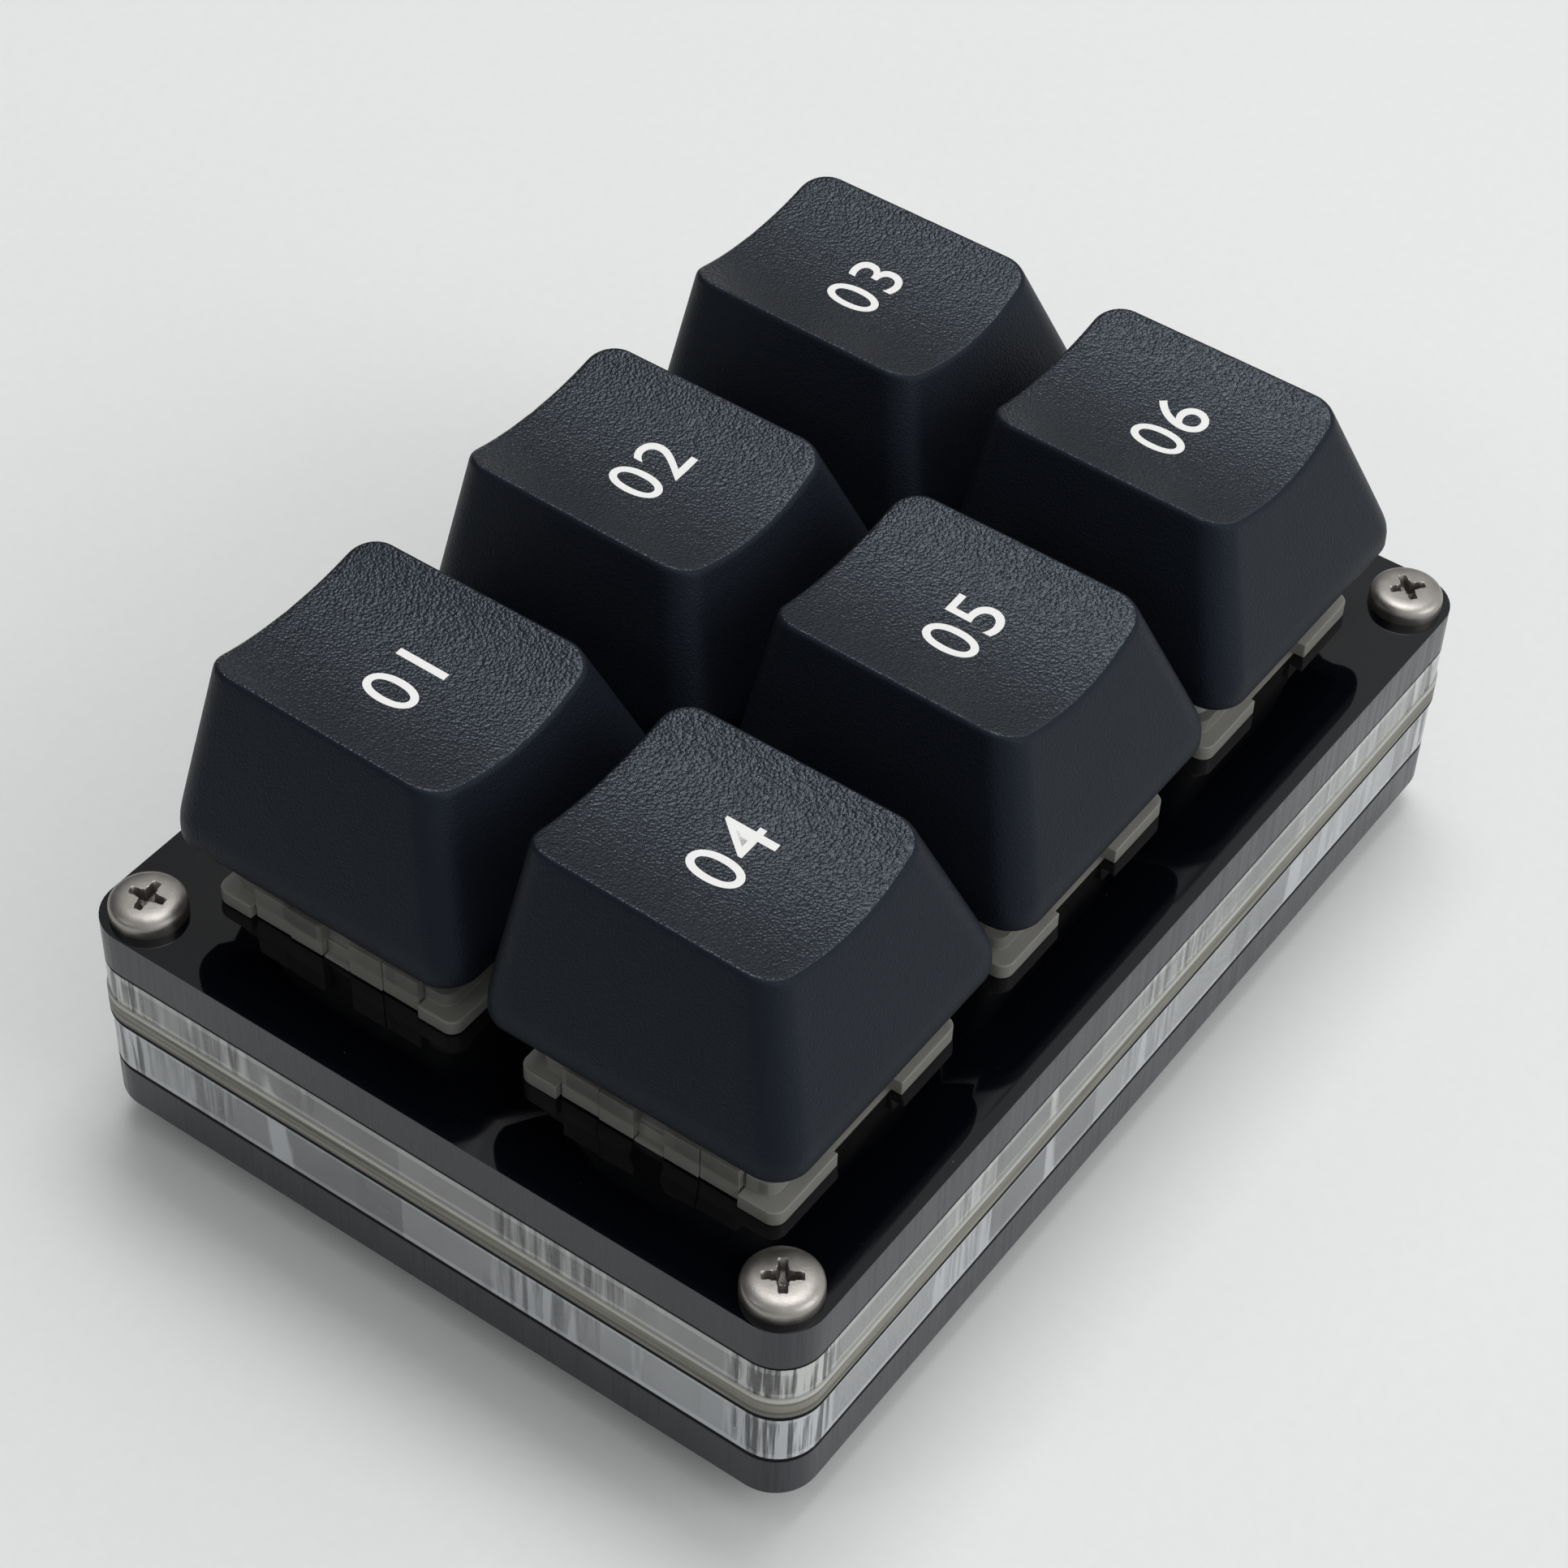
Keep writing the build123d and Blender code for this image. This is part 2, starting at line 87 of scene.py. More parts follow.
class KeypadSizes(bpy.types.PropertyGroup):
    """Sizes of the pieces that are modelled here."""

    def length(label, text, value):
        return bpy.props.FloatProperty(
            name=label, description=text, default=value, min=0, precision=5, subtype="DISTANCE", unit="LENGTH"
        )

    cap_skirt: length("Cap skirt", "Side of the cap's square skirt", CAP_HIGH.x - CAP_LOW.x)
    cap_skirt_radius: length("Skirt corner", "Corner radius of the skirt", 1.9 * MM)
    cap_lip: length("Cap lip", "Height of the upright lip at the skirt", 1.2 * MM)
    cap_lip_turn: length("Lip turn", "Softness of the turn from the lip to the sloping side", 0.35 * MM)
    skirt_ease: length("Skirt ease", "Rounding of the skirt's lower edge", 0.28 * MM)
    cap_height: length("Cap height", "Height of the cap's rim above its skirt", 9.4 * MM)
    cap_top_length: length("Cap top length", "Length of the top along a row", 12.1 * MM)
    cap_top_width: length("Cap top width", "Width of the top across a row", 14.1 * MM)
    cap_top_radius: length("Cap top corner", "Corner radius of the top", 1.6 * MM)
    cap_setback: length("Cap setback", "How far the top sits behind the skirt's middle", 1.3 * MM)
    cap_dish: length("Cap dish", "Depth of the dish", 1.0 * MM)
    cap_rim: length("Cap rim", "Rounding of the rim around the dish", 0.3 * MM)
    cap_wall: length("Cap wall", "Thickness of the cap's sides", 1.2 * MM)
    cap_roof: length("Cap roof", "Thickness of the cap's roof under the dish", 1.6 * MM)
    cap_boss: length("Cap boss", "Diameter of the boss that grips the stem", 5.5 * MM)
    boss_bore: length("Boss bore", "Radius of the boss's bore", 2.06 * MM)
    boss_grip: length("Boss grip", "How far the boss reaches down over the stem", 3.6 * MM)
    cap_tilt: bpy.props.FloatProperty(
        name="Cap tilt",
        description="How far the top leans towards the typist",
        default=math.radians(1.3),
        subtype="ANGLE",
        unit="ROTATION",
    )
    legend_height: length("Numeral height", "Height of the numerals on the caps", 3.1 * MM)
    legend_offset: length("Numeral offset", "How far the numerals sit behind a key's middle", 0.85 * MM)
    legend_rise: length("Numeral rise", "Thickness of the printed ink", 0.015 * MM)
    edge_ease: length("Eased edge", "Width of the eased edges of cut sheets", 0.09 * MM)
    housing_ease: length("Housing ease", "Width of the eased edges of the housings", 0.12 * MM)
    # painted shade: the height of the dark line that stands in for the shadow between two sheets
    shade_seam_height: length("Seam height", "Height of the dark line where two sheets meet", 0.26 * MM)
    sheet_gap: length("Sheet gap", "Air between two stacked sheets", 0.004 * MM)
    screw_head: length("Screw head", "Diameter of a screw's head", 4.0 * MM)
    screw_rim: length("Screw rim", "Height of the upright rim of a head", 0.45 * MM)
    screw_shank: length("Screw shank", "Diameter of the threaded shank", 2.0 * MM)
    recess_span: length("Recess span", "Reach of the cross recess from end to end", 2.0 * MM)
    recess_depth: length("Recess depth", "Depth of the cross recess", 0.8 * MM)
    recess_arm: length("Recess arm", "Half the width of a recess arm at the middle", 0.3 * MM)
    recess_taper: length("Recess taper", "How much an arm narrows on each side by its end", 0.1 * MM)
    recess_draft: length("Recess draft", "Width of the recess's sloping walls", 0.1 * MM)
    recess_bore: length("Recess bore", "Radius of the round middle of the recess", 0.42 * MM)
    thread_pitch: length("Thread pitch", "Rise of the thread in one turn", 0.4 * MM)
    thread_depth: length("Thread depth", "Depth of the thread", 0.16 * MM)
    spring_wire: length("Spring wire", "Diameter of the spring's wire", 0.34 * MM)
    floor_side: length("Floor side", "Side of the floor", 3.0)
    floor_drop: length("Floor drop", "How far the floor lies under the feet, to keep their faces apart", 0.02 * MM)


class KeypadColours(bpy.types.PropertyGroup):
    """Colours of the finishes, in scene linear values."""

    def colour(label, text, value):
        return bpy.props.FloatVectorProperty(
            name=label, description=text, default=value, size=3, min=0, max=1, subtype="COLOR"
        )

    cap: colour("Cap", "Moulded cap plastic", (0.0039, 0.0047, 0.0068))
    ink: colour("Ink", "Printed numerals", (0.82, 0.82, 0.8))
    black_sheet: colour("Black sheet", "Polished black acrylic", (0.0012, 0.0015, 0.0025))
    cut_edge: colour("Cut edge", "Laser-cut edge of the black acrylic", (0.011, 0.0135, 0.018))
    # the two clear colours are the base of the painted glow, highlights and glints on the sheets' cut edges
    upper_clear: colour("Upper clear sheet", "Clear acrylic over the board", (0.72, 0.73, 0.71))
    lower_clear: colour("Lower clear sheet", "Clear acrylic under the board", (0.7, 0.72, 0.745))
    board_edge: colour("Board edge", "Routed edge of the board", (0.14, 0.135, 0.112))
    board_lip: colour("Board lip", "Pale line along the board's upper edge", (0.42, 0.42, 0.39))
    board_mask: colour("Board mask", "Solder mask of the board", (0.01, 0.011, 0.011))
    housing: colour("Housing", "Milky switch housings", (0.32, 0.314, 0.288))
    # the colour that the screws' recesses darken to, deeper in the recess
    recess_darkening: colour("Dirt", "Dull film in the screws' recesses", (0.05, 0.04, 0.034))
    nickel: colour("Nickel", "Plated screws", (0.37, 0.35, 0.325))
    steel: colour("Steel", "Springs and the socket's shell", (0.62, 0.61, 0.6))
    brass: colour("Brass", "Contacts", (0.62, 0.45, 0.22))
    stem: colour("Stem", "Sliding stems", (0.4, 0.06, 0.045))
    rubber: colour("Rubber", "Feet", (0.022, 0.022, 0.023))
    package: colour("Package", "Moulded chip packages", (0.02, 0.02, 0.021))
    ceramic: colour("Ceramic", "Small resistors and capacitors", (0.3, 0.22, 0.14))
    floor: colour("Floor", "Pale desk top", (0.74, 0.745, 0.737))


class Signal:
    """One value in a node tree. Arithmetic on it adds Math nodes."""

    def __init__(self, nodes, socket):
        self.nodes = nodes
        self.socket = socket

    def math(self, operation, *operands):
        return self.nodes.add("ShaderNodeMath", {"operation": operation}, dict(enumerate(operands)))

    def __add__(self, other):
        return self.math("ADD", self, other)

    def __radd__(self, other):
        return self.math("ADD", other, self)

    def __sub__(self, other):
        return self.math("SUBTRACT", self, other)

    def __rsub__(self, other):
        return self.math("SUBTRACT", other, self)

    def __mul__(self, other):
        return self.math("MULTIPLY", self, other)

    def __rmul__(self, other):
        return self.math("MULTIPLY", other, self)

    def __gt__(self, other):
        return self.math("GREATER_THAN", self, other)

    def __lt__(self, other):
        return self.math("LESS_THAN", self, other)

    def __abs__(self):
        return self.math("ABSOLUTE", self)


class Nodes:
    """The node tree of a material or of the room, under construction."""

    def __init__(self, owner):
        owner.use_nodes = True
        self.tree = owner.node_tree

    def add(self, kind, settings=None, sockets=None, output=0):
        """Adds a node: first its settings, then the values or links of its sockets."""
        node = self.tree.nodes.new(kind)
        for name, value in (settings or {}).items():
            setattr(node, name, value)
        for name, value in (sockets or {}).items():
            self.feed(node.inputs[name], value)
        return Signal(self, node.outputs[output])

    def feed(self, socket, value):
        """Links a signal to a socket, or sets a plain value on it."""
        if isinstance(value, Signal):
            self.tree.links.new(value.socket, socket)
        else:
            socket.default_value = value


class Finish(Nodes):
    """A material under construction."""

    def __init__(self, name):
        self.material = bpy.data.materials.new(name)
        super().__init__(self.material)
        self.surface = self.tree.nodes["Principled BSDF"]

    def place(self, stretch=(1, 1, 1)):
        """Object coordinates in millimetres, stretched along each axis."""
        spot = self.add("ShaderNodeTexCoord", output="Object")
        scale = tuple(factor / MM for factor in stretch)
        return self.add("ShaderNodeVectorMath", {"operation": "MULTIPLY"}, {0: spot, 1: scale})

    def axis(self, name):
        """One object coordinate in metres."""
        spot = self.add("ShaderNodeTexCoord", output="Object")
        return self.add("ShaderNodeSeparateXYZ", sockets={0: spot}, output=name)

    def noise(self, scale, detail=2.0, stretch=(1, 1, 1), rough=0.5):
        """Cloudy noise between 0 and 1, with scale features to a millimetre."""
        sockets = {"Vector": self.place(stretch), "Scale": scale, "Detail": detail, "Roughness": rough}
        return self.add("ShaderNodeTexNoise", sockets=sockets)

    def panels(self, scale):
        """Upright panels, scale of them to a millimetre, each with one value between 0 and 1."""
        sockets = {"Vector": self.place((1, 1, 0)), "Scale": scale}
        tint = self.add("ShaderNodeTexVoronoi", sockets=sockets, output="Color")
        return self.add("ShaderNodeSeparateColor", sockets={0: tint})

    def pebbles(self, scale):
        """Rounded grains, scale of them to a millimetre, from 0 between them to 1 on their tops."""
        sockets = {"Vector": self.place(), "Scale": scale, "Smoothness": 0.35}
        return 1 - self.add("ShaderNodeTexVoronoi", {"feature": "SMOOTH_F1"}, sockets)

    def attribute(self, name):
        """A number stored on the piece's vertices."""
        return self.add("ShaderNodeAttribute", {"attribute_name": name}, output="Fac")

    def step(self, value, low, high):
        """0 below low, 1 above high and a straight rise between."""
        sockets = {"Value": value, "From Min": low, "From Max": high}
        return self.add("ShaderNodeMapRange", {"clamp": True}, sockets)

    def mix(self, share, first, second):
        """A colour between two, each a colour or a signal."""
        ends = [end if isinstance(end, Signal) else tuple(end) + (1,) for end in (first, second)]
        return self.add("ShaderNodeMix", {"data_type": "RGBA"}, {"Factor": share, 6: ends[0], 7: ends[1]}, output=2)

    def bump(self, height, strength, distance):
        """A surface normal that follows a height."""
        sockets = {"Height": height, "Strength": strength, "Distance": distance}
        return self.add("ShaderNodeBump", sockets=sockets)

    def set(self, **values):
        """Feeds the surface: underscores stand for the spaces in a socket's name."""
        for name, value in values.items():
            self.feed(self.surface.inputs[name.replace("_", " ")], value)
        return self.material


def shade(colour, factor):
    """A colour made lighter or darker."""
    return tuple(min(1, channel * factor) for channel in colour)


def cap_finish(name, colour, grain_scale, grain_depth, gloss, rough, sheen):
    """Moulded black plastic with a pebble grain, coarse and shiny on the dish, fine and dull on the sides."""
    finish = Finish(name)
    pebbles = finish.pebbles(grain_scale) * 0.6 + finish.noise(grain_scale * 1.6, detail=2) * 0.6
    patch = finish.noise(0.25, detail=3)
    return finish.set(
        Base_Color=finish.mix(patch, shade(colour, 0.86), shade(colour, 1.12)),
        Roughness=rough + pebbles * 0.16,
        Normal=finish.bump(pebbles, 0.8, grain_depth),
        IOR=1.5,
        Specular_IOR_Level=gloss,
        Specular_Tint=(*sheen, 1.0),
    )


def ink_finish(colours):
    """Opaque printed ink with a slightly uneven surface."""
    finish = Finish("printed_ink")
    grain = finish.noise(6, detail=2)
    colour = finish.mix(grain, shade(colours.ink, 0.9), colours.ink)
    return finish.set(Base_Color=colour, Roughness=0.42 + grain * 0.15, Normal=finish.bump(grain, 0.25, 0.03 * MM))


def black_sheet_finish(colours, node):
    """Polished black faces and laser-cut edges with upright striations."""
    low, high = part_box(node)
    finish = Finish(f"black_acrylic_{node}")
    z = finish.axis("Z")
    edge = (z > low.z + FACE_SKIN) * (z < high.z - FACE_SKIN)
    streaks = finish.noise(5, detail=3, stretch=(1, 1, 0.03), rough=0.6)
    broad = finish.noise(0.35, detail=2, stretch=(1, 1, 0.3))
    fine = finish.step(streaks, 0.36, 0.64)
    cut = finish.mix(fine * (broad + 0.3), shade(colours.cut_edge, 0.5), shade(colours.cut_edge, 2.0))
    smudge = finish.noise(0.12, detail=4)
    dust = finish.step(finish.noise(2.6, detail=2), 0.74, 0.8)
    face = finish.mix(dust, colours.black_sheet, shade(colours.cut_edge, 0.6))
    return finish.set(
        Base_Color=finish.mix(edge, face, cut),
        Roughness=edge * (0.24 + fine * 0.16) + (1 - edge) * (0.015 + smudge * 0.05 + dust * 0.3),
        Normal=finish.bump(streaks * edge, 0.25, 0.06 * MM),
        IOR=1.49,
    )


def painted_seam_shade_finish(colours):
    """Painted shade: a dark, barely glossy line where two sheets meet, standing in for the shadow in the gap between
    them.
    """
    finish = Finish("painted_shade_seam")
    grit = finish.noise(5, detail=2, stretch=(1, 1, 0.3))
    colour = finish.mix(grit, shade(colours.black_sheet, 0.6), shade(colours.black_sheet, 3))
    return finish.set(Base_Color=colour, Roughness=0.5 + grit * 0.2, Specular_IOR_Level=0.08)


def clear_sheet_finish(node, colour, clearness, contrast):
    """Clear acrylic with painted light: its cut edges glow in upright panels that stand in for light carried through
    the sheet and seen through it, between a painted highlight line above and one below.

    Upright marks gather in clusters, painted bright and dark refraction streaks gather at the corners, and a few
    painted glints sparkle.
    """
    low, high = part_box(node)
    finish = Finish(f"clear_acrylic_{node}")
    x, y, z = (finish.axis(name) for name in "XYZ")
    depth = abs(z - (low.z + high.z) / 2)
    half = (high.z - low.z) / 2
    edge = depth < half - 0.03 * MM
    # painted highlight: a bright line along the top and the bottom of each cut edge
    painted_edge_highlights = finish.step(depth, half - 0.42 * MM, half - 0.3 * MM)
    # painted refraction: bright and dark streaks near the rounded corners
    corner = finish.step(abs(x) + abs(y), high.x + high.y - 3.9 * MM, high.x + high.y - 2.9 * MM)
    streaks = finish.noise(2.4, detail=3, stretch=(1, 1, 0.05), rough=0.6)
    fine = finish.step(streaks, 0.38, 0.62)
    cluster = finish.step(finish.noise(0.14, detail=2, stretch=(1, 1, 0.3)), 0.53, 0.62)
    # painted glints: a few sparkling spots
    painted_glints = finish.step(finish.noise(0.5, detail=2, stretch=(1, 1, 0.12)), 0.62, 0.7)
    cloud = finish.noise(0.22, detail=4)
    # painted light: the panels' tone stands in for light carried through the sheet and seen through it
    tone = 0.1 + finish.panels(0.11) * contrast + cloud * 0.25 + painted_edge_highlights * 0.35 + painted_glints * 0.8
    tone = tone + cluster * (fine - 0.5) * 0.7 + corner * (fine * 1.7 - 0.85)
    return finish.set(
        Base_Color=finish.mix(tone, shade(colour, 0.16), shade(colour, 1.3)),
        Roughness=edge * (0.03 + streaks * 0.08) + 0.01,
        Normal=finish.bump(streaks * edge, 0.25, 0.06 * MM),
        Transmission_Weight=clearness,
        IOR=1.49,
    )


def board_finish(colours):
    """Solder mask on both faces, and a routed edge of glass cloth under a pale line."""
    low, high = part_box("circuit_board")
    finish = Finish("board_laminate")
    z = finish.axis("Z")
    face = 1 - (z > low.z + FACE_SKIN) * (z < high.z - FACE_SKIN)
    x, y = abs(finish.axis("X")), abs(finish.axis("Y"))
    inside = (x < high.x - 0.4 * MM) * (y < high.y - 0.4 * MM) * (x + y < high.x + high.y - 1.8 * MM)
    core = 1 - face * inside
    lip = finish.step(z, high.z - 0.3 * MM, high.z - 0.2 * MM)
    plies = finish.step(finish.noise(1.5, detail=2, stretch=(0.05, 0.05, 2.4)), 0.36, 0.64)
    nicks = finish.noise(6, detail=2, stretch=(1, 1, 0.2))
    cloth = finish.mix(plies * 0.8 + nicks * 0.2, shade(colours.board_edge, 0.35), shade(colours.board_edge, 1.6))
    return finish.set(
        Base_Color=finish.mix(core, colours.board_mask, finish.mix(lip, cloth, colours.board_lip)),
        Roughness=core * 0.2 + 0.32,
        Normal=finish.bump(nicks * core, 0.3, 0.05 * MM),
    )


def housing_finish(colours):
    """Milky, slightly see-through moulded plastic: pale flanges, and walls above them darkened with painted shade
    from the caps, with painted panels standing in for what shows through.
    """
    finish = Finish("milky_housing")
    cloud = finish.noise(0.5, detail=3)
    grain = finish.noise(9, detail=2)
    # painted shade: above the flanges the walls are darker, standing in for the shadow of the cap over them
    wall = finish.step(finish.axis("Z"), PLATE_TOP + 0.95 * MM, PLATE_TOP + 1.15 * MM)
    # painted panels on the walls stand in for what shows through them
    behind = finish.panels(0.45) * 0.45 + cloud * 0.2
    share = (1 - wall) * (0.75 + cloud * 0.25) + wall * behind
    colour = finish.mix(share, shade(colours.housing, 0.6), shade(colours.housing, 1.35))
    return finish.set(
        Base_Color=colour,
        Roughness=0.3 + grain * 0.16,
        Normal=finish.bump(grain, 0.12, 0.03 * MM),
        Subsurface_Weight=0.35,
        Subsurface_Radius=(1.0, 0.95, 0.85),
        Subsurface_Scale=0.7 * MM,
        Transmission_Weight=0.4,
        IOR=1.5,
    )


def metal_finish(name, colour, polish, scratch):
    """Plated or bare metal with a cloudy polish and fine scratches."""
    finish = Finish(name)
    cloud = finish.noise(0.9, detail=3)
    scratches = finish.noise(9, detail=3, stretch=(1, 0.25, 0.6), rough=0.7)
    tone = finish.mix(cloud, shade(colour, 0.82), shade(colour, 1.1))
    return finish.set(
        Base_Color=tone,
        Metallic=1.0,
        Roughness=polish + cloud * 0.08 + scratches * 0.1,
        Normal=finish.bump(scratches, scratch, 0.02 * MM),
    )


def screw_finish(colours):
    """Plated nickel: bright, with a satin grain, and a darker, duller colour deeper in the recess."""
    finish = Finish("plated_nickel")
    # how deep a point lies in the recess: the colour darkens and dulls with it
    depth = finish.attribute("recess")
    cloud = finish.noise(1.4, detail=3)
    grain = finish.noise(8, detail=3, rough=0.7)
    plate = finish.mix(cloud, shade(colours.nickel, 0.8), shade(colours.nickel, 1.1))
    return finish.set(
        Base_Color=finish.mix(depth * (grain + 0.25), plate, colours.recess_darkening),
        Metallic=1 - depth * 0.4,
        Roughness=0.26 + cloud * 0.14 + grain * 0.14,
        Normal=finish.bump(grain + cloud, 0.3, 0.03 * MM),
    )


def plain_finish(name, colour, rough, grain_scale, grain_strength):
    """A moulded or fired surface: an uneven tone and a fine grain."""
    finish = Finish(name)
    cloud = finish.noise(0.6, detail=3)
    grain = finish.noise(grain_scale, detail=2)
    tone = finish.mix(cloud, shade(colour, 0.8), shade(colour, 1.2))
    return finish.set(
        Base_Color=tone, Roughness=rough + grain * 0.15, Normal=finish.bump(grain, grain_strength, 0.04 * MM)
    )


def loop_weights(arc_steps, side_steps):
    """A rounded rectangle as weights: x = ax * half length + cx * radius, and y likewise with by and cy.

    Each corner is a quarter turn of arc_steps steps. The straight side after it is divided into side_steps.
    """
    turn = np.linspace(0, math.pi / 2, arc_steps + 1)
    corners = []
    for quarter, (sx, sy) in enumerate(((1, 1), (-1, 1), (-1, -1), (1, -1))):
        angle = turn + quarter * math.pi / 2
        ones = np.ones_like(angle)
        corners.append(np.stack((sx * ones, np.cos(angle) - sx, sy * ones, np.sin(angle) - sy), axis=1))
    parts = []
    share = np.linspace(0, 1, side_steps + 1)[1:-1, None]
    for this, following in zip(corners, corners[1:] + corners[:1]):
        parts += [this, this[-1] * (1 - share) + following[0] * share]
    return np.concatenate(parts).T


def outline(weights, half_x, half_y, radius):
    """Points of rounded rectangles: the sizes may be numbers or arrays that broadcast against the loop."""
    ax, cx, by, cy = weights
    return ax * half_x + cx * radius, by * half_y + cy * radius


def grid_faces(rows, columns):
    """Quads of a grid whose columns close on themselves."""
    row, column = np.meshgrid(np.arange(rows - 1), np.arange(columns), indexing="ij")
    after = (column + 1) % columns
    this, above = row * columns, (row + 1) * columns
    return np.stack((this + column, this + after, above + after, above + column), axis=-1).reshape(-1, 4)


def closed_tube(rows):
    """Vertices and faces of stacked loops of shape (rows, columns, 3), closed by a fan at both ends."""
    count, columns, _ = rows.shape
    poles = np.stack((rows[0].mean(axis=0), rows[-1].mean(axis=0)))
    points = np.concatenate((rows.reshape(-1, 3), poles))
    first = np.arange(columns)
    after = (first + 1) % columns
    bottom = np.stack((after, first, np.full(columns, count * columns)), axis=1)
    base = (count - 1) * columns
    top = np.stack((base + first, base + after, np.full(columns, count * columns + 1)), axis=1)
    return points, grid_faces(count, columns).tolist() + bottom.tolist() + top.tolist()


def join_shapes(shapes):
    """One list of vertices and faces from several."""
    points, faces, start = [], [], 0
    for part_points, part_faces in shapes:
        points.append(part_points)
        faces += [[start + index for index in face] for face in part_faces]
        start += len(part_points)
    return np.concatenate(points), faces


def make_piece(name, points, faces, material, body, replaced, sharp_angle):
    """Builds a mesh piece with outward faces and hangs it on a body."""
    mesh = bpy.data.meshes.new(name)
    mesh.from_pydata(np.asarray(points).tolist(), [], faces)
    mesh.validate()
    mesh.polygons.foreach_set("use_smooth", np.ones(len(mesh.polygons), bool))
    mesh.set_sharp_from_angle(angle=sharp_angle)
    mesh.materials.append(material)
    piece = bpy.data.objects.new(name, mesh)
    bpy.context.scene.collection.objects.link(piece)
    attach(piece, body)
    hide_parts(*replaced)
    return piece


def give(nodes, material):
    """Assigns a finish to solids that keep their own shape."""
    for node in nodes:
        mesh = frame["nodes"][node].data
        mesh.materials.clear()
        mesh.materials.append(material)


def eased_copy(node, width, material, inset_z=0.0, seam=None):
    """A copy of a solid with merged vertices and eased edges, drawn in a little above and below.

    A seam is a painted shade finish, standing in for the shadow where two sheets meet, with the lowest and highest z
    of a band of the sides that gets it.
    """
    shape = bmesh.new()
    shape.from_mesh(frame["nodes"][node].data)
    bmesh.ops.remove_doubles(shape, verts=shape.verts, dist=0.001 * MM)
    bmesh.ops.dissolve_limit(shape, angle_limit=math.radians(0.6), verts=shape.verts, edges=shape.edges)
    low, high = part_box(node)
    squeeze = 1 - 2 * inset_z / (high.z - low.z)
    middle = Vector((0, 0, (low.z + high.z) / 2))
    squeezing = Matrix.Translation(middle) @ Matrix.Diagonal((1, 1, squeeze, 1)) @ Matrix.Translation(-middle)
    shape.transform(squeezing)
    corners = [e for e in shape.edges if len(e.link_faces) == 2 and e.calc_face_angle() > math.radians(35)]
    bmesh.ops.bevel(
        shape, geom=corners, offset=width, segments=2, profile=0.5, affect="EDGES", clamp_overlap=True
    )
    if seam:
        for z in seam[1:]:
            everything = shape.verts[:] + shape.edges[:] + shape.faces[:]
            bmesh.ops.bisect_plane(shape, geom=everything, plane_co=(0, 0, z), plane_no=(0, 0, 1))
        for face in shape.faces:
            middle_z = face.calc_center_bounds().z
            face.material_index = int(seam[1] < middle_z < seam[2] and abs(face.normal.z) < 0.95)
    bmesh.ops.recalc_face_normals(shape, faces=shape.faces)
    mesh = bpy.data.meshes.new(f"{node}_eased")
    shape.to_mesh(mesh)
    shape.free()
    mesh.polygons.foreach_set("use_smooth", np.ones(len(mesh.polygons), bool))
    mesh.set_sharp_from_angle(angle=math.radians(18))
    mesh.materials.append(material)
    if seam:
        mesh.materials.append(seam[0])
    piece = bpy.data.objects.new(f"{node}_eased", mesh)
    bpy.context.scene.collection.objects.link(piece)
    body = next(name for name, nodes in frame["record"]["behaviour"]["bodies"].items() if node in nodes)
    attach(piece, body)
    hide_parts(node)


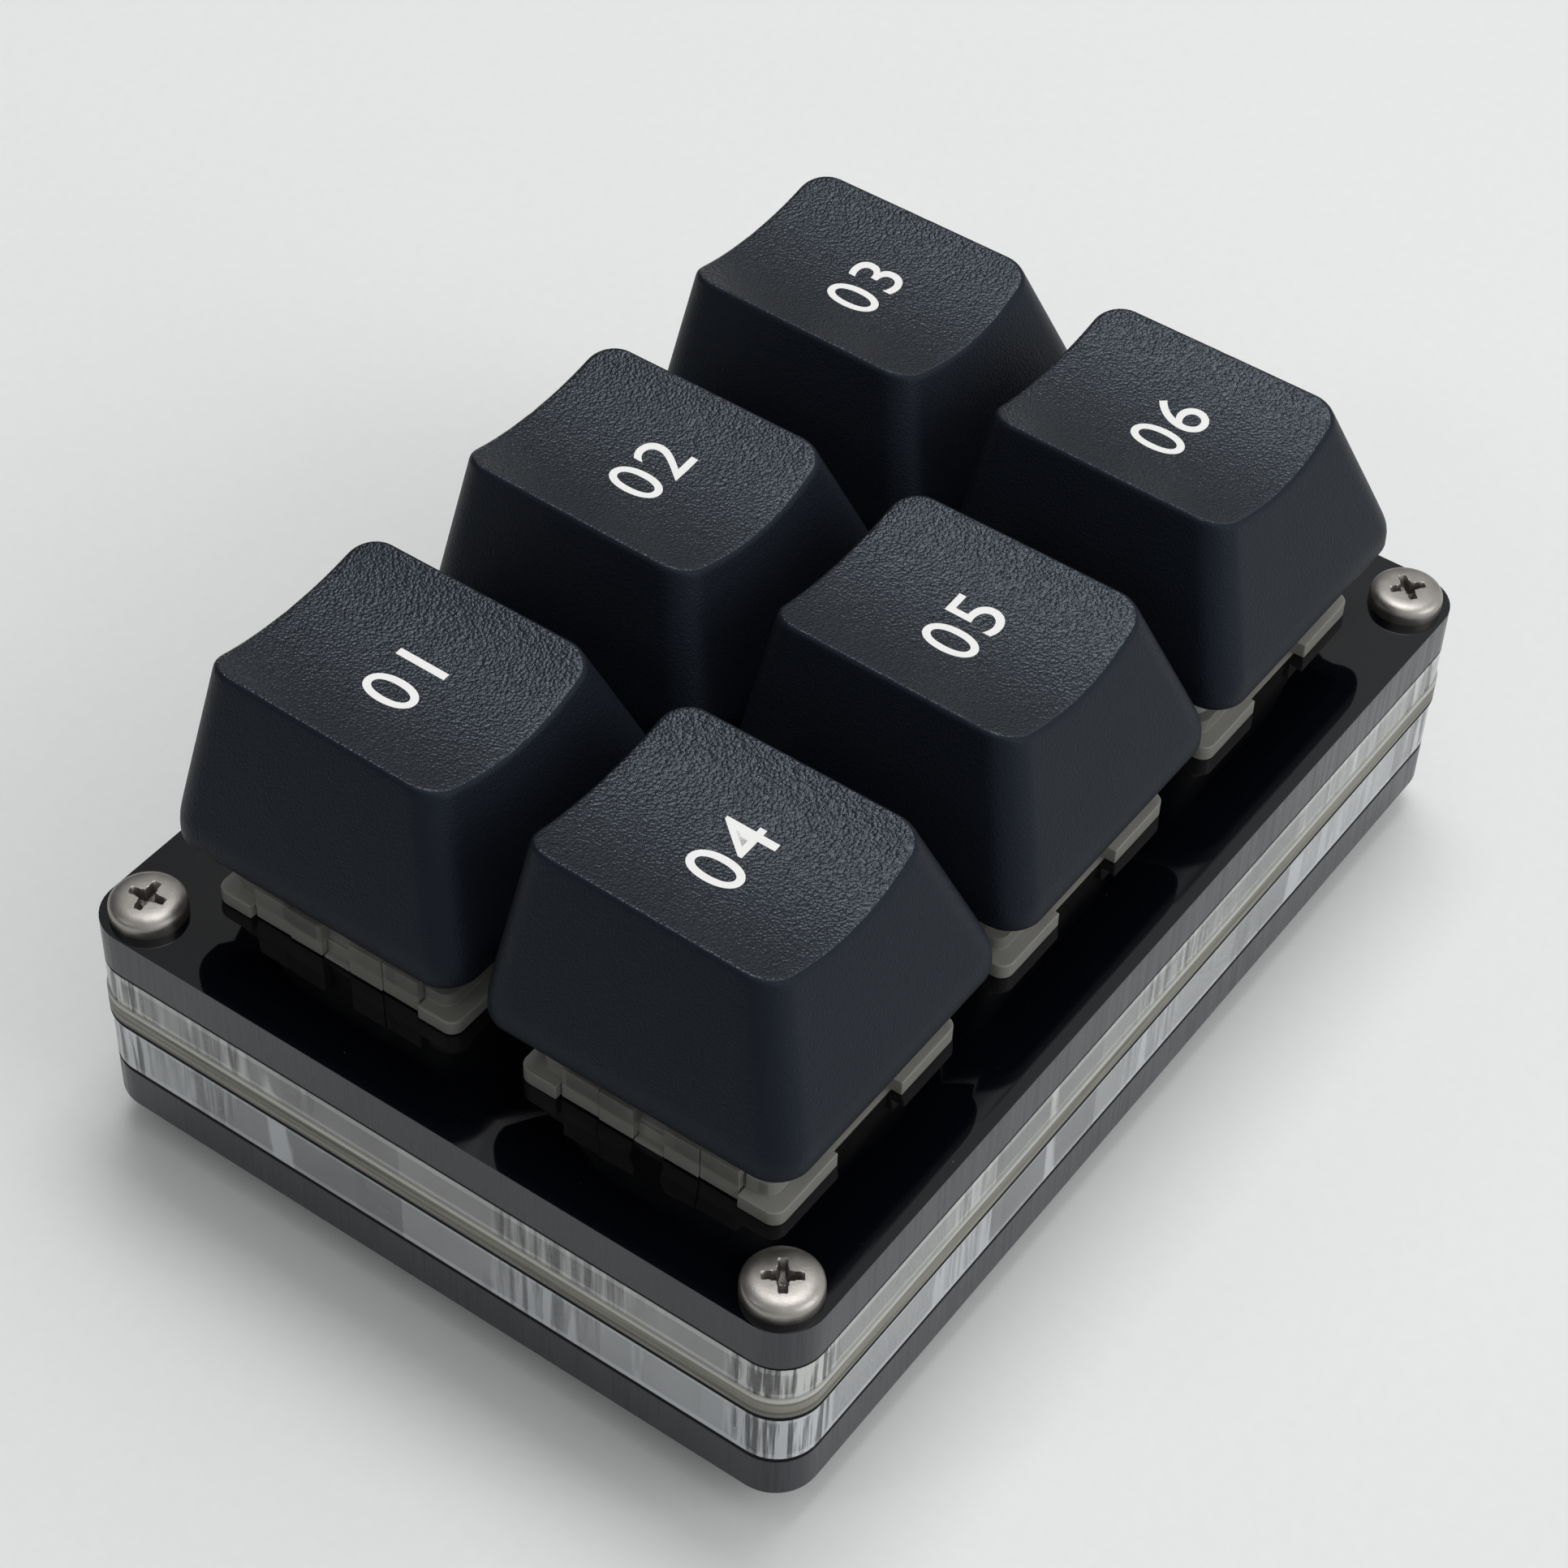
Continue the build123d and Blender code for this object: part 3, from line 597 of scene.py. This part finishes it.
class CapShape:
    """The cap as functions of height and of the way round it. Heights count from the skirt."""

    def __init__(self, sizes):
        self.sizes = sizes
        self.weights = loop_weights(10, 18)
        self.bend = ((sizes.cap_top_length / 2) ** 2 + sizes.cap_dish**2) / (2 * sizes.cap_dish)

    def share(self, height):
        """0 along the upright lip, then growing steadily to 1 at the rim, with a soft turn between."""
        sizes = self.sizes
        over = height - sizes.cap_lip
        return (over + np.sqrt(over**2 + sizes.cap_lip_turn**2)) / 2 / (sizes.cap_height - sizes.cap_lip)

    def side(self, height, wall=0.0):
        """Points of the outline at a height, drawn in by a wall."""
        sizes = self.sizes
        share = self.share(height)
        half_x = sizes.cap_skirt / 2 + (sizes.cap_top_length - sizes.cap_skirt) / 2 * share - wall
        half_y = sizes.cap_skirt / 2 + (sizes.cap_top_width - sizes.cap_skirt) / 2 * share - wall
        radius = sizes.cap_skirt_radius + (sizes.cap_top_radius - sizes.cap_skirt_radius) * share
        x, y = outline(self.weights, half_x, half_y, np.maximum(radius - wall, 0.3 * MM))
        return np.stack(np.broadcast_arrays(x, y + sizes.cap_setback * share, height), axis=-1)

    def dish(self, x, y):
        """The top: a cylinder along Y that leans towards the typist."""
        sizes = self.sizes
        sunk = sizes.cap_height - sizes.cap_dish + self.bend - np.sqrt(self.bend**2 - x**2)
        return sunk + math.tan(sizes.cap_tilt) * (y - sizes.cap_setback)

    def rim(self):
        """Where the sides meet the dish: the height is found by repeated substitution."""
        height = np.full(self.weights.shape[1], self.sizes.cap_height)
        for _ in range(6):
            corner = self.side(height)
            height = self.dish(corner[:, 0], corner[:, 1])
        return self.side(height)

    def rows(self):
        """Loops from the middle of the roof's inside, over the skirt's edge and up to the middle of the dish.

        Also gives the number of the loop where the dish starts, half-way round the rim.
        """
        sizes = self.sizes
        rim = self.rim()
        middle = np.array((0, sizes.cap_setback, 0))
        roof = sizes.cap_height - sizes.cap_dish - sizes.cap_roof
        inner = [self.side(np.array(h), sizes.cap_wall) for h in np.linspace(roof, 0, 7)]
        ceiling = [(inner[0] - middle * 0.7) * (k, k, 1) + middle * 0.7 for k in (0.05, 0.4, 0.8)]
        ease = sizes.skirt_ease
        turn = np.linspace(0, math.pi / 2, 4)[1:, None, None]
        low_in = self.side(np.array(0.0), sizes.cap_wall - ease)
        low_out = self.side(np.array(ease))
        low_foot = self.side(np.array(0.0), ease)
        round_edge = low_foot + (low_out - low_foot) * np.concatenate(
            (np.sin(turn), np.sin(turn), 1 - np.cos(turn)), axis=2
        )
        climb = np.linspace(0, 1, 26)[1:, None]
        top_height = rim[:, 2] - sizes.cap_rim
        sides = self.side(ease + (top_height - ease) * climb)
        inward = rim[:, :2] - self.outward() * sizes.cap_rim
        landed = np.column_stack((inward, self.dish(inward[:, 0], inward[:, 1])))
        t = np.linspace(0, 1, 7)[1:, None, None]
        rounded = sides[-1] * (1 - t) ** 2 + rim * 2 * t * (1 - t) + landed * t**2
        shrink = np.linspace(1, 0.03, 18)[1:, None]
        x = inward[:, 0] * shrink
        y = sizes.cap_setback + (inward[:, 1] - sizes.cap_setback) * shrink
        dished = np.stack((x, y, self.dish(x, y)), axis=-1)
        rows = np.concatenate((ceiling, inner, [low_in, low_foot], round_edge, sides, rounded, dished))
        return rows, len(rows) - len(dished) - 3

    def outward(self):
        """Outward directions of the loop, level with the desk."""
        ax, cx, by, cy = self.weights
        way = np.stack((cx + np.sign(ax), cy + np.sign(by)), axis=1)
        return way / np.linalg.norm(way, axis=1, keepdims=True)


def wrap_faces(start, end, columns):
    """Quads that join one loop to another."""
    first = np.arange(columns)
    after = (first + 1) % columns
    return np.stack((start + first, start + after, end + after, end + first), axis=1)


def ring_post(radius, bore, low, high):
    """A hollow post: a rectangle between bore and radius, turned about Z."""
    steps = 48
    angle = np.linspace(0, 2 * math.pi, steps, endpoint=False)
    ring = np.stack((np.cos(angle), np.sin(angle), 0 * angle), axis=1)
    profile = ((radius, low), (radius, high), (bore, high), (bore, low))
    rows = np.array([ring * reach + (0, 0, z) for reach, z in profile])
    faces = np.concatenate((grid_faces(4, steps), wrap_faces(3 * steps, 0, steps)))
    return rows.reshape(-1, 3), faces.tolist()


class KEYPAD_OT_caps(bpy.types.Operator):
    """Make the dished caps over the switches"""

    bl_idname = "keypad.caps"
    bl_label = "Key caps"

    def execute(self, context):
        sizes = context.scene.keypad_sizes
        colour = context.scene.keypad_colours.cap
        sides = cap_finish(
            "cap_sides",
            shade(colour, 1.7),
            grain_scale=7.5,
            grain_depth=0.036 * MM,
            gloss=0.17,
            rough=0.36,
            sheen=(0.64, 0.8, 1.0),
        )
        top = cap_finish(
            "cap_top",
            colour,
            grain_scale=5.6,
            grain_depth=0.085 * MM,
            gloss=0.54,
            rough=0.15,
            sheen=(0.76, 0.87, 1.0),
        )
        rows, first_dished = CapShape(sizes).rows()
        shell_points, shell_faces = closed_tube(rows)
        boss_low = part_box("stem_1")[1].z - sizes.boss_grip - CAP_LOW.z
        boss_high = sizes.cap_height - sizes.cap_dish - sizes.cap_roof
        boss = ring_post(sizes.cap_boss / 2, sizes.boss_bore, boss_low, boss_high)
        points, faces = join_shapes(((shell_points, shell_faces), boss))
        columns = rows.shape[1]
        heights = np.array([min(face) for face in faces])
        in_shell = np.arange(len(faces)) < len(shell_faces)
        dished = in_shell & (heights >= first_dished * columns) & (heights < len(rows) * columns)
        for number in KEY_NUMBERS:
            piece = make_piece(
                f"cap_{number}",
                points + key_centre(number),
                faces,
                sides,
                f"key_{number}",
                (f"keycap_{number}",),
                math.radians(50),
            )
            piece.data.materials.append(top)
            piece.data.polygons.foreach_set("material_index", dished.astype(np.int32))
        return {"FINISHED"}


class KEYPAD_OT_numerals(bpy.types.Operator):
    """Print a plain number on each cap"""

    bl_idname = "keypad.numerals"
    bl_label = "Numerals"

    def execute(self, context):
        sizes = context.scene.keypad_sizes
        material = ink_finish(context.scene.keypad_colours)
        shape = CapShape(sizes)
        for number in KEY_NUMBERS:
            ink = self.flat_ink(f"{number:02d}", sizes)
            points = np.empty(len(ink.vertices) * 3)
            ink.vertices.foreach_get("co", points)
            points = points.reshape(-1, 3)
            points[:, 1] += sizes.legend_offset
            points[:, 2] += shape.dish(points[:, 0], points[:, 1])
            ink.vertices.foreach_set("co", (points + key_centre(number)).ravel())
            ink.materials.append(material)
            piece = bpy.data.objects.new(f"numeral_{number}", ink)
            context.scene.collection.objects.link(piece)
            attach(piece, f"key_{number}")
        return {"FINISHED"}

    def flat_ink(self, text, sizes):
        """Flat numerals as a thin closed mesh, cut into strips so that they can follow the dish."""
        curve = bpy.data.curves.new("numerals", "FONT")
        curve.body = text
        curve.align_x = "CENTER"
        curve.size = sizes.legend_height / NUMERAL_SHARE
        curve.resolution_u = 8
        curve.offset = 0.002 * sizes.legend_height
        curve.space_character = 1.08
        curve.extrude = sizes.legend_rise
        holder = bpy.data.objects.new("numerals", curve)
        mesh = bpy.data.meshes.new_from_object(holder)
        bpy.data.objects.remove(holder)
        bpy.data.curves.remove(curve)
        shape = bmesh.new()
        shape.from_mesh(mesh)
        bmesh.ops.remove_doubles(shape, verts=shape.verts, dist=0.0005 * MM)
        reach = max(abs(v.co.x) for v in shape.verts)
        heights = [v.co.y for v in shape.verts]
        middle = (max(heights) + min(heights)) / 2
        for x in np.arange(-reach, reach, NUMERAL_STRIP):
            everything = shape.verts[:] + shape.edges[:] + shape.faces[:]
            bmesh.ops.bisect_plane(shape, geom=everything, plane_co=(x, 0, 0), plane_no=(1, 0, 0))
        bmesh.ops.translate(shape, verts=shape.verts, vec=(0, -middle, 0))
        bmesh.ops.recalc_face_normals(shape, faces=shape.faces)
        shape.to_mesh(mesh)
        shape.free()
        return mesh


class KEYPAD_OT_switches(bpy.types.Operator):
    """Finish the switches: housings, stems, contacts and springs"""

    bl_idname = "keypad.switches"
    bl_label = "Switches"

    def execute(self, context):
        sizes = context.scene.keypad_sizes
        colours = context.scene.keypad_colours
        milky = housing_finish(colours)
        steel = metal_finish("spring_steel", colours.steel, polish=0.16, scratch=0.1)
        give([f"stem_{n}" for n in KEY_NUMBERS], plain_finish("stem_plastic", colours.stem, 0.3, 7, 0.15))
        brass = metal_finish("contact_brass", colours.brass, polish=0.2, scratch=0.15)
        give([f"{part}_{n}" for part in ("fixed_contact", "contact_leaf") for n in KEY_NUMBERS], brass)
        for number in KEY_NUMBERS:
            for part in ("upper_housing", "lower_housing"):
                eased_copy(f"{part}_{number}", sizes.housing_ease, milky)
            self.make_spring(number, sizes.spring_wire / 2, steel)
        return {"FINISHED"}

    def make_spring(self, number, wire, material):
        """A round wire carried along a helix. The share of its length kept with the key down is worked out, but
        nothing uses it.
        """
        low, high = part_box(f"spring_{number}")
        centre = np.array(((low.x + high.x) / 2, (low.y + high.y) / 2, 0))
        radius = (high.x - low.x) / 2 - wire
        turns = 10
        angle = np.linspace(0, 2 * math.pi * turns, 32 * turns + 1)
        rise = np.linspace(low.z + wire, high.z - wire, angle.size)
        out = np.stack((np.cos(angle), np.sin(angle), 0 * angle), axis=1)
        slope = (rise[-1] - rise[0]) / (2 * math.pi * turns)
        along = np.stack((-radius * np.sin(angle), radius * np.cos(angle), slope + 0 * angle), axis=1)
        over = np.cross(out, along / np.linalg.norm(along, axis=1, keepdims=True))
        section = np.linspace(0, 2 * math.pi, 10, endpoint=False)
        path = centre + out * radius + np.stack((0 * rise, 0 * rise, rise), axis=1)
        ring = out[:, None] * np.cos(section)[:, None] + over[:, None] * np.sin(section)[:, None]
        points, faces = closed_tube((path[:, None] + ring * wire)[:, ::-1])
        piece = make_piece(f"coil_{number}", points, faces, material, "case", (f"spring_{number}",), math.radians(50))
        travel = -min(frame_joint(f"key_{number}_press")["range_m"])
        keep = 1 - travel / (high.z - low.z)
        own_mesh(piece)


def frame_joint(name):
    """One joint of the frame."""
    return next(joint for joint in frame["joints"] if joint["name"] == name)


class KEYPAD_OT_case(bpy.types.Operator):
    """Cut the stacked sheets of the case"""

    bl_idname = "keypad.case"
    bl_label = "Case sheets"

    def execute(self, context):
        sizes = context.scene.keypad_sizes
        colours = context.scene.keypad_colours
        # painted shade: dark bands where the black sheets meet the clear ones, and under the board, stand in for the
        # shadow in the gaps
        dark = painted_seam_shade_finish(colours)
        deep = sizes.shade_seam_height
        for node, start, end in (
            ("top_plate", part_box("top_plate")[0].z - deep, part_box("top_plate")[0].z + 0.6 * deep),
            ("bottom_plate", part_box("bottom_plate")[1].z - deep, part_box("bottom_plate")[1].z + deep),
        ):
            eased_copy(node, sizes.edge_ease, black_sheet_finish(colours, node), seam=(dark, start, end))
        # each clear sheet: its colour, how clear it is, and the contrast of its painted glowing panels
        for node, colour, clearness, contrast in (
            ("upper_frame", colours.upper_clear, 0.55, 0.3),
            ("lower_frame", colours.lower_clear, 0.6, 0.6),
        ):
            clear = clear_sheet_finish(node, colour, clearness, contrast)
            eased_copy(node, sizes.edge_ease / 5, clear, sizes.sheet_gap)
        board_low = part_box("circuit_board")[0].z
        band = (dark, board_low - deep, board_low + deep)
        eased_copy("circuit_board", sizes.edge_ease / 5, board_finish(colours), seam=band)
        give(["rubber_feet"], plain_finish("foot_rubber", colours.rubber, 0.62, 5, 0.3))
        return {"FINISHED"}


class KEYPAD_OT_board_parts(bpy.types.Operator):
    """Finish the parts under the board"""

    bl_idname = "keypad.board_parts"
    bl_label = "Board parts"

    def execute(self, context):
        colours = context.scene.keypad_colours
        give(["usb_shell"], metal_finish("socket_shell", colours.steel, polish=0.18, scratch=0.1))
        give(["usb_tongue"], plain_finish("socket_plastic", colours.package, 0.4, 6, 0.15))
        give(["controller_chip", "diodes"], plain_finish("package_plastic", colours.package, 0.5, 8, 0.25))
        give(["controller_leads"], metal_finish("tinned_leads", colours.steel, polish=0.28, scratch=0.15))
        give(["passives"], plain_finish("fired_ceramic", colours.ceramic, 0.45, 6, 0.15))
        return {"FINISHED"}


class KEYPAD_OT_fasteners(bpy.types.Operator):
    """Make the pan-head screws"""

    bl_idname = "keypad.fasteners"
    bl_label = "Screws"

    def execute(self, context):
        sizes = context.scene.keypad_sizes
        low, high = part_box("case_screws")
        half = sizes.screw_head / 2
        turns = (0.62, 0.2, 0.85, 0.35)
        corners = [(x, y) for x in (low.x + half, high.x - half) for y in (low.y + half, high.y - half)]
        shapes, depths = [], []
        for turn, corner in zip(turns, corners):
            for points, faces, depth in (self.head(sizes, high.z - PLATE_TOP), self.shank(sizes, low.z)):
                cos, sin = math.cos(turn), math.sin(turn)
                turned = points @ np.array(((cos, sin, 0), (-sin, cos, 0), (0, 0, 1)))
                shapes.append((turned + (*corner, 0), faces))
                depths.append(depth)
        points, faces = join_shapes(shapes)
        finish = screw_finish(context.scene.keypad_colours)
        piece = make_piece("pan_screws", points, faces, finish, "case", ("case_screws",), math.radians(40))
        layer = piece.data.attributes.new("recess", "FLOAT", "POINT")
        layer.data.foreach_set("value", np.concatenate(depths).astype(np.float32))
        return {"FINISHED"}

    def head(self, sizes, height):
        """A domed head over a disc. The cross recess has arms that narrow and rise towards their ends."""
        count = 96
        u, v = np.meshgrid(np.linspace(-1, 1, count + 1), np.linspace(-1, 1, count + 1), indexing="ij")
        x, y = u * np.sqrt(1 - v**2 / 2), v * np.sqrt(1 - u**2 / 2)
        radius = sizes.screw_head / 2
        reach = np.minimum(np.hypot(x, y), 1)
        dome = sizes.screw_rim + (height - sizes.screw_rim) * (1 - reach**5) ** 0.45
        x, y = x * radius, y * radius
        cut = np.maximum(self.arm(x, y, sizes), self.arm(y, x, sizes))
        bore = sizes.recess_depth * 0.85 * np.clip((sizes.recess_bore - np.hypot(x, y)) / sizes.recess_draft, 0, 1)
        sunk = np.maximum(cut, bore)
        z = PLATE_TOP + dome - sunk
        points = np.stack((x, y, z), axis=-1).reshape(-1, 3)
        row, column = np.meshgrid(np.arange(count), np.arange(count), indexing="ij")
        corner = (row * (count + 1) + column).reshape(-1, 1)
        faces = (corner + np.array((0, count + 1, count + 2, 1))).tolist()
        index = np.arange((count + 1) ** 2).reshape(count + 1, count + 1)
        border = np.concatenate((index[:-1, 0], index[-1, :-1], index[:0:-1, -1], index[0, :0:-1]))
        foot = points[border] * (1, 1, 0) + (0, 0, PLATE_TOP)
        start = len(points)
        after = np.roll(np.arange(border.size), -1)
        rim = np.stack((border, start + np.arange(border.size), start + after, border[after]), axis=1)
        base = [(start + np.arange(border.size))[::-1].tolist()]
        depth = np.concatenate((np.clip(sunk.ravel() / RECESS_DARK_DEPTH, 0, 1), np.zeros(border.size)))
        return np.concatenate((points, foot)), faces + rim.tolist() + base, depth

    def arm(self, along, across, sizes):
        """Depth of one arm of the recess."""
        share = np.clip(np.abs(along) / (sizes.recess_span / 2), 0, 1)
        half_width = sizes.recess_arm - sizes.recess_taper * share
        wall = np.clip((half_width - np.abs(across)) / sizes.recess_draft, 0, 1)
        return sizes.recess_depth * np.clip((1 - share) * 3.2, 0, 1) * (1 - 0.35 * share) * wall

    def shank(self, sizes, end):
        """A threaded shank: its radius swings once for each turn of the thread."""
        angle = np.linspace(0, 2 * math.pi, 24, endpoint=False)
        z = np.linspace(end, PLATE_TOP - 0.02 * MM, 211)[:, None]
        wave = 0.5 + 0.5 * np.cos(2 * math.pi * z / sizes.thread_pitch - angle)
        radius = sizes.screw_shank / 2 - sizes.thread_depth * wave
        rows = np.stack((radius * np.cos(angle), radius * np.sin(angle), z + 0 * angle), axis=-1)
        points, faces = closed_tube(rows)
        return points, faces, np.zeros(len(points))


class KEYPAD_OT_stage(bpy.types.Operator):
    """Set the desk, the lamps and the camera"""

    bl_idname = "keypad.stage"
    bl_label = "Stage"

    def execute(self, context):
        sizes = context.scene.keypad_sizes
        quarter = np.array(((-1, -1, 0), (1, -1, 0), (1, 1, 0), (-1, 1, 0)))
        corners = quarter * sizes.floor_side / 2 - (0, 0, sizes.floor_drop)
        mesh = bpy.data.meshes.new("desk_top")
        mesh.from_pydata(corners.tolist(), [], [(0, 1, 2, 3)])
        mesh.materials.append(self.desk_finish(context.scene.keypad_colours))
        desk = bpy.data.objects.new("desk_top", mesh)
        context.scene.collection.objects.link(desk)
        self.sky(context.scene)
        self.lamp("ceiling_lamp", place=(0.17, 0.08, 0.6), target=(0.17, 0.08, 0), sides=(0.24, 0.36), power=1.6)
        self.lamp("window_lamp", place=(0.12, -0.6, 0.38), target=(0, 0, 0), sides=(0.4, 0.4), power=1.2)
        self.lamp("rim_lamp", place=(-0.48, 0.275, 0.39), target=(0, 0, 0), sides=(0.12, 0.12), power=0.2)
        self.camera(context.scene)
        context.scene.view_settings.view_transform = "Standard"
        return {"FINISHED"}

    def desk_finish(self, colours):
        """A smooth pale desk with a barely uneven tone."""
        finish = Finish("pale_desk")
        cloud = finish.noise(0.02, detail=3) * 0.5 + finish.noise(1.2, detail=3) * 0.5
        tone = finish.mix(cloud, shade(colours.floor, 0.95), shade(colours.floor, 1.04))
        return finish.set(Base_Color=tone, Roughness=0.62)

    def sky(self, scene):
        """A soft room, brightest above the typist."""
        scene.world = bpy.data.worlds.new("soft_room")
        room = Nodes(scene.world)
        brightest = Vector((0.25, -0.8, 0.6)).normalized()
        way = room.add("ShaderNodeTexCoord", output="Generated")
        facing = room.add("ShaderNodeVectorMath", {"operation": "DOT_PRODUCT"}, {0: way, 1: brightest}, "Value")
        limits = {"From Min": -0.35, "From Max": 1.0, "To Min": 0.1, "To Max": 0.98}
        strength = room.add("ShaderNodeMapRange", sockets={"Value": facing, **limits})
        background = room.tree.nodes["Background"]
        room.feed(background.inputs["Color"], (0.97, 0.985, 1.0, 1))
        room.feed(background.inputs["Strength"], strength)

    def lamp(self, name, place, target, sides, power):
        """A flat lamp that faces a target."""
        light = bpy.data.lights.new(name, "AREA")
        light.shape = "RECTANGLE"
        light.size, light.size_y = sides
        light.energy = power
        lamp = bpy.data.objects.new(name, light)
        lamp.location = place
        lamp.rotation_euler = (Vector(target) - Vector(place)).to_track_quat("-Z", "Y").to_euler()
        bpy.context.scene.collection.objects.link(lamp)

    def camera(self, scene):
        """The photograph's view: place, right and up directions in the keypad's frame."""
        sensor, focal_length_share = 36.0, 4498.3 / 1932
        right = Vector((0.58339, -0.81163, 0.03031))
        up = Vector((0.56471, 0.43216, 0.70310))
        back = right.cross(up)
        lens = bpy.data.cameras.new("camera")
        lens.sensor_width = sensor
        lens.lens = sensor * focal_length_share
        lens.clip_start = 0.01
        camera = bpy.data.objects.new("camera", lens)
        turn = Matrix((right, up, back)).transposed().to_4x4()
        place = Vector((-112.406, -74.279, 133.267)) * MM + Vector((0, 0, PLATE_TOP))
        camera.matrix_world = Matrix.Translation(place) @ turn
        scene.collection.objects.link(camera)
        scene.camera = camera


PIECE_OPERATORS = (
    KEYPAD_OT_caps,
    KEYPAD_OT_numerals,
    KEYPAD_OT_switches,
    KEYPAD_OT_case,
    KEYPAD_OT_board_parts,
    KEYPAD_OT_fasteners,
    KEYPAD_OT_stage,
)


class KEYPAD_PT_sidebar(bpy.types.Panel):
    """Lists the steps that dress the keypad"""

    bl_idname = "KEYPAD_PT_sidebar"
    bl_label = "Macro keypad"
    bl_space_type = "VIEW_3D"
    bl_region_type = "UI"
    bl_category = "Keypad"

    def draw(self, context):
        for operator in PIECE_OPERATORS:
            self.layout.operator(operator.bl_idname)


CLASSES = (KeypadSizes, KeypadColours, *PIECE_OPERATORS, KEYPAD_PT_sidebar)


def register():
    for item in CLASSES:
        bpy.utils.register_class(item)
    bpy.types.Scene.keypad_sizes = bpy.props.PointerProperty(type=KeypadSizes)
    bpy.types.Scene.keypad_colours = bpy.props.PointerProperty(type=KeypadColours)


def unregister():
    del bpy.types.Scene.keypad_colours
    del bpy.types.Scene.keypad_sizes
    for item in reversed(CLASSES):
        bpy.utils.unregister_class(item)


def main():
    register()
    for operator in PIECE_OPERATORS:
        group, name = operator.bl_idname.split(".")
        getattr(getattr(bpy.ops, group), name)()


if __name__ == "__main__":
    main()
